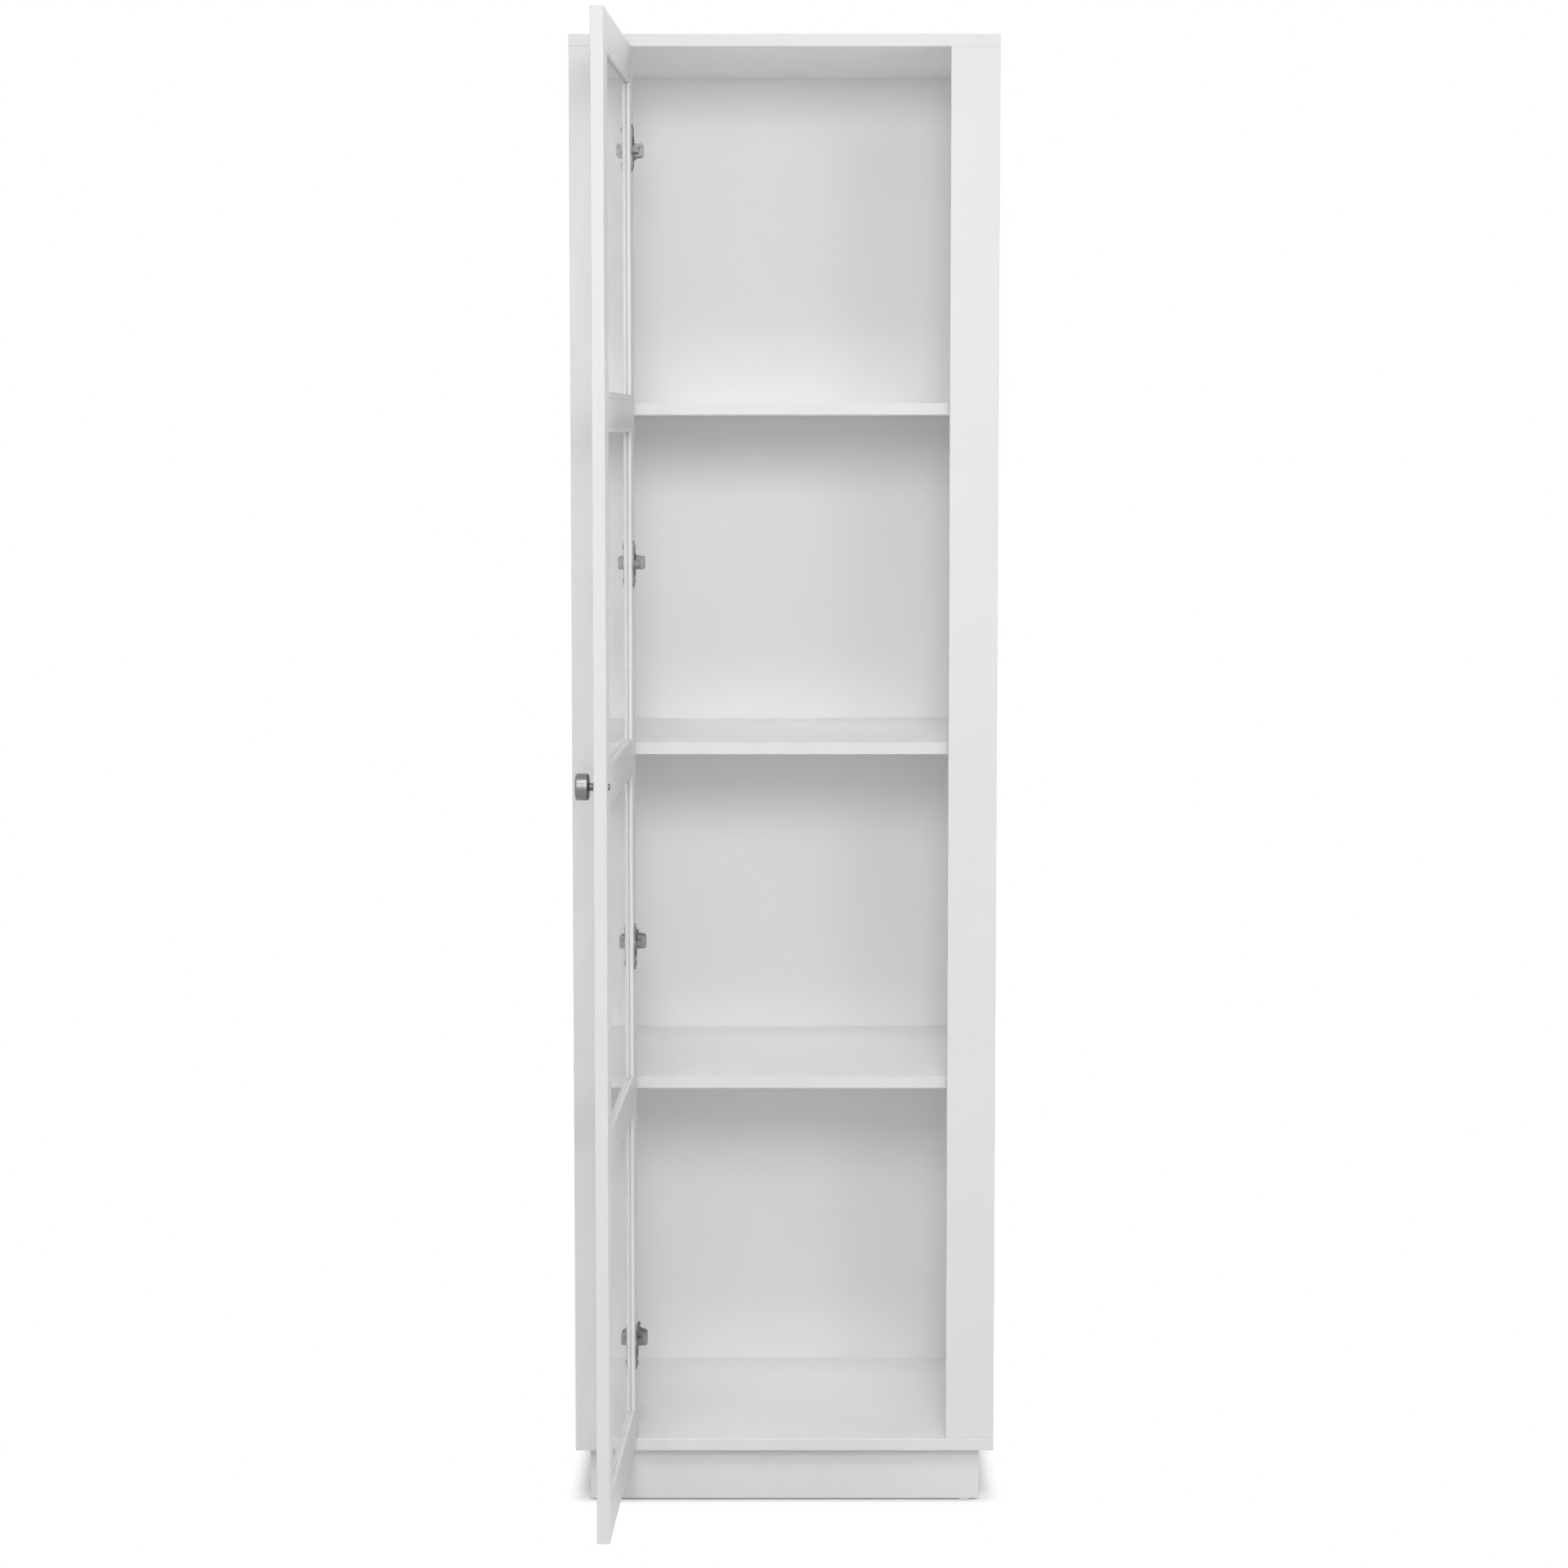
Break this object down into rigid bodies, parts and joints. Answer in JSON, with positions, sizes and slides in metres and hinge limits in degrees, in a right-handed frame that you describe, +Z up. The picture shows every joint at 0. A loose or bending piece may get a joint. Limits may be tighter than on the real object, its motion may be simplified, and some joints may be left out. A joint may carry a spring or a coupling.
{
  "type": "bookcase with glass doors",
  "caption": "Tall narrow white bookcase with shelves behind a framed glass door on cup hinges, a round metal knob and a set-back plinth; the door stands open",
  "frame": {"origin": "on the floor, in the middle of the whole object's outline with the door standing open as stored", "axes": "+Z up; +X to the right seen from the front; +Y from the open door towards the back panel"},
  "size_m": [0.574, 0.8243, 2],
  "materials": {
    "white_lacquer": "semi-matt white lacquer over fibreboard",
    "back_board": "plain white lacquered hardboard",
    "beech": "fluted beech dowel, bare",
    "softwood": "blocks lacquered white with the carcass",
    "zinc_casting": "dull die-cast zinc",
    "nickel_steel": "nickel-plated pressed steel",
    "screw_steel": "bright zinc-plated steel",
    "knob_nickel": "satin brushed nickel",
    "white_plastic": "smooth white nylon",
    "clear_glass": "clear float glass, polished"
  },
  "bodies": {
    "carcass": {"side_panel_left": "white_lacquer", "side_panel_right": "white_lacquer", "top_panel": "white_lacquer", "bottom_panel": "white_lacquer", "front_stile_left": "white_lacquer", "front_stile_right": "white_lacquer", "shelf_upper": "white_lacquer", "shelf_middle": "white_lacquer", "shelf_lower": "white_lacquer", "plinth_front": "white_lacquer", "plinth_back": "white_lacquer", "plinth_side_left": "white_lacquer", "plinth_side_right": "white_lacquer", "back_panel": "back_board", "carcass_dowels": "beech", "stile_dowels": "beech", "plinth_dowels": "beech", "hinge_blocks": "softwood", "plinth_corner_blocks": "softwood", "cam_housings": "zinc_casting", "hinge_mounting_plates": "nickel_steel", "hinge_arms": "nickel_steel", "shelf_pins": "nickel_steel", "cam_bolts": "screw_steel", "plate_screws": "screw_steel", "arm_screws": "screw_steel", "foot_glides": "white_plastic"},
    "door": {"door_stile_hinge": "white_lacquer", "door_stile_knob": "white_lacquer", "door_rail_bottom": "white_lacquer", "door_crossbar_lower": "white_lacquer", "door_crossbar_middle": "white_lacquer", "door_crossbar_upper": "white_lacquer", "door_rail_top": "white_lacquer", "glazing_beads_upright": "white_lacquer", "glazing_beads_level": "white_lacquer", "door_dowels": "beech", "glass_pane_bottom": "clear_glass", "glass_pane_lower": "clear_glass", "glass_pane_upper": "clear_glass", "glass_pane_top": "clear_glass", "hinge_cups": "nickel_steel", "hinge_pins": "screw_steel", "cup_screws": "screw_steel", "knob_screw": "screw_steel", "knob": "knob_nickel"}
  },
  "joints": [
    {"name": "door_swing", "type": "hinge", "parent": "carcass", "child": "door", "pos_m": [-0.2115, 0.01888, 1.0385], "axis": [0, 0, -1], "range_deg": [-92, 3]}
  ]
}
